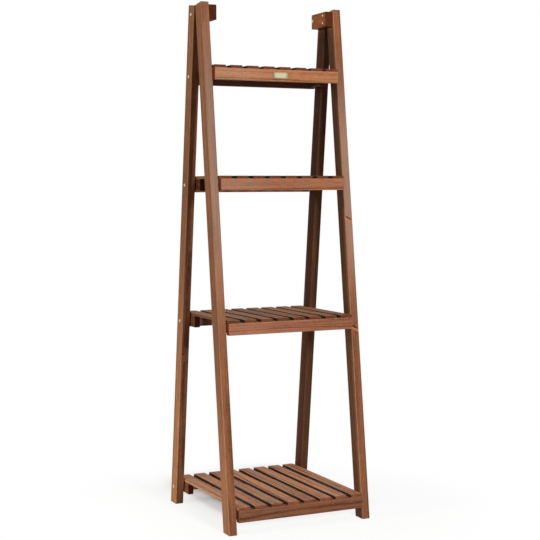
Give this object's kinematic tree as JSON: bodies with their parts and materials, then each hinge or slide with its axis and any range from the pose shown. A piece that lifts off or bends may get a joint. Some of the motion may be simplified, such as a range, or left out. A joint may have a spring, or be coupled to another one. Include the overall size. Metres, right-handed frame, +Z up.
{
  "type": "plant ladder stand",
  "caption": "Free-standing folding A-frame plant stand of stained wood, with level slatted shelves that grow deeper towards the floor between leaning legs.",
  "frame": {"origin": "on the floor, at the middle of the footprint of the open stand", "axes": "+Z up; -Y is the front, which carries the plate; +X is to the right for a viewer at the front"},
  "size_m": [0.4402, 0.4524, 1.4498],
  "materials": {
    "leg_wood": "reddish-brown stained fir, straight grain along the leg, satin oiled",
    "rail_wood": "reddish-brown stained fir, grain along the rail, satin oiled",
    "slat_wood": "reddish-brown stained fir, grain along the slat, satin oiled",
    "block_wood": "darker reddish-brown stained fir, sawn ends, satin oiled",
    "crossbar_wood": "darker reddish-brown stained fir, satin oiled",
    "dowel_wood": "plain pale hardwood, unstained",
    "screw_brass": "yellow-plated steel heads, slightly dulled",
    "plate_brass": "thin pale brass plate, brushed and left bare"
  },
  "bodies": {
    "front_frame": {"front_leg_left": "leg_wood", "front_leg_right": "leg_wood", "top_block_left": "block_wood", "top_block_right": "block_wood", "front_crossbar_1": "crossbar_wood", "front_crossbar_2": "crossbar_wood", "front_crossbar_3": "crossbar_wood", "front_crossbar_4": "crossbar_wood", "top_block_screws": "screw_brass", "crossbar_dowels": "dowel_wood"},
    "rear_frame": {"rear_leg_left": "leg_wood", "rear_leg_right": "leg_wood", "pivot_screws": "screw_brass", "top_pivot_bolts": "screw_brass", "top_pivot_nuts": "screw_brass"},
    "shelf_1": {"shelf_1_front_rail": "rail_wood", "shelf_1_rear_rail": "rail_wood", "shelf_1_side_blocks": "block_wood", "shelf_1_slat_1": "slat_wood", "shelf_1_slat_2": "slat_wood", "shelf_1_slat_3": "slat_wood", "shelf_1_slat_4": "slat_wood", "shelf_1_slat_5": "slat_wood", "shelf_1_slat_6": "slat_wood", "shelf_1_slat_7": "slat_wood", "shelf_1_slat_8": "slat_wood", "front_plate": "plate_brass"},
    "shelf_2": {"shelf_2_front_rail": "rail_wood", "shelf_2_rear_rail": "rail_wood", "shelf_2_side_blocks": "block_wood", "shelf_2_slat_1": "slat_wood", "shelf_2_slat_2": "slat_wood", "shelf_2_slat_3": "slat_wood", "shelf_2_slat_4": "slat_wood", "shelf_2_slat_5": "slat_wood", "shelf_2_slat_6": "slat_wood", "shelf_2_slat_7": "slat_wood", "shelf_2_slat_8": "slat_wood"},
    "shelf_3": {"shelf_3_front_rail": "rail_wood", "shelf_3_rear_rail": "rail_wood", "shelf_3_side_blocks": "block_wood", "shelf_3_slat_1": "slat_wood", "shelf_3_slat_2": "slat_wood", "shelf_3_slat_3": "slat_wood", "shelf_3_slat_4": "slat_wood", "shelf_3_slat_5": "slat_wood", "shelf_3_slat_6": "slat_wood", "shelf_3_slat_7": "slat_wood", "shelf_3_slat_8": "slat_wood"},
    "shelf_4": {"shelf_4_front_rail": "rail_wood", "shelf_4_rear_rail": "rail_wood", "shelf_4_side_blocks": "block_wood", "shelf_4_slat_1": "slat_wood", "shelf_4_slat_2": "slat_wood", "shelf_4_slat_3": "slat_wood", "shelf_4_slat_4": "slat_wood", "shelf_4_slat_5": "slat_wood", "shelf_4_slat_6": "slat_wood", "shelf_4_slat_7": "slat_wood", "shelf_4_slat_8": "slat_wood"}
  },
  "joints": [
    {"name": "frame_fold", "type": "hinge", "parent": "front_frame", "child": "rear_frame", "pos_m": [0, 0.02704, 1.422], "axis": [-1, 0, 0], "range_deg": [0, 13.8]},
    {"name": "shelf_1_lift", "type": "hinge", "parent": "rear_frame", "child": "shelf_1", "pos_m": [0, 0.04773, 1.251], "axis": [-1, 0, 0], "range_deg": [0, 82.8]},
    {"name": "shelf_2_lift", "type": "hinge", "parent": "rear_frame", "child": "shelf_2", "pos_m": [0, 0.08464, 0.946], "axis": [-1, 0, 0], "range_deg": [0, 82.8]},
    {"name": "shelf_3_lift", "type": "hinge", "parent": "rear_frame", "child": "shelf_3", "pos_m": [0, 0.13232, 0.552], "axis": [-1, 0, 0], "range_deg": [0, 82.8]},
    {"name": "shelf_4_lift", "type": "hinge", "parent": "rear_frame", "child": "shelf_4", "pos_m": [0, 0.19307, 0.05], "axis": [-1, 0, 0], "range_deg": [0, 82.8]}
  ],
  "couplings": [
    {"joint": "shelf_1_lift", "follows": "frame_fold", "ratio": 6},
    {"joint": "shelf_2_lift", "follows": "frame_fold", "ratio": 6},
    {"joint": "shelf_3_lift", "follows": "frame_fold", "ratio": 6},
    {"joint": "shelf_4_lift", "follows": "frame_fold", "ratio": 6}
  ]
}
